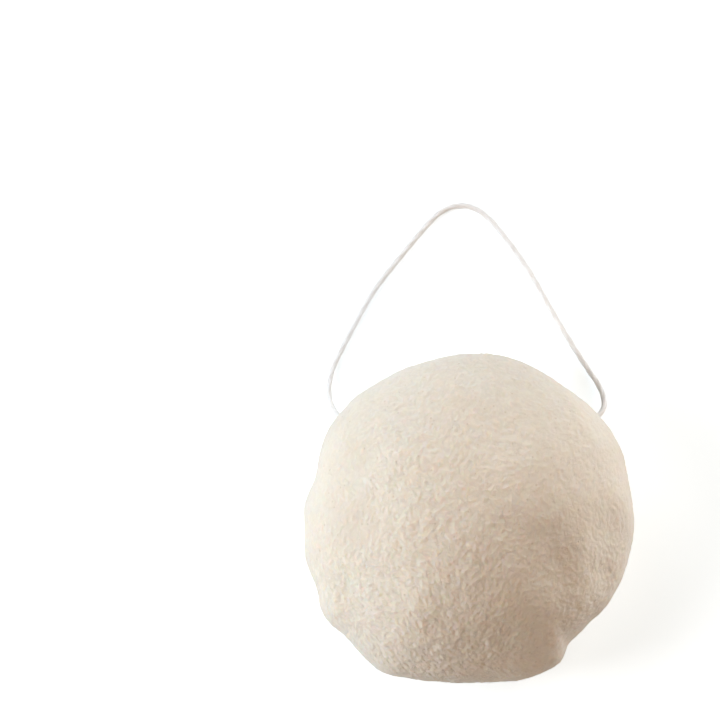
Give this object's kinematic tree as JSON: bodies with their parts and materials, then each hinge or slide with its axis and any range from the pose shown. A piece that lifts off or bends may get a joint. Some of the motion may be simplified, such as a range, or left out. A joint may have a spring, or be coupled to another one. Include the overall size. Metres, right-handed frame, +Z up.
{
  "type": "konjac sponge",
  "caption": "Soft half-ball face sponge of cream konjac foam on a flat foot, with a thin cotton cord threaded through it as a hanging loop that swings up.",
  "frame": {"origin": "middle of the flat foot that the sponge rests on", "axes": "+Z up through the crown, +X from the left mouth of the cord channel to the right one, +Y towards the side where the loop lies"},
  "size_m": [0.0798, 0.1219, 0.0457],
  "materials": {
    "konjac_foam": "matte fibrous foam",
    "cotton_cord": "matte twisted cotton"
  },
  "bodies": {
    "puff": {"sponge_body": "konjac_foam"},
    "loop": {"hanging_loop": "cotton_cord", "threaded_cord_left": "cotton_cord", "threaded_cord_right": "cotton_cord", "cord_knot": "cotton_cord"}
  },
  "joints": [
    {"name": "loop_swing", "type": "hinge", "parent": "puff", "child": "loop", "pos_m": [0, 0.025, 0.005], "axis": [1, 0, 0], "range_deg": [0, 95]}
  ]
}
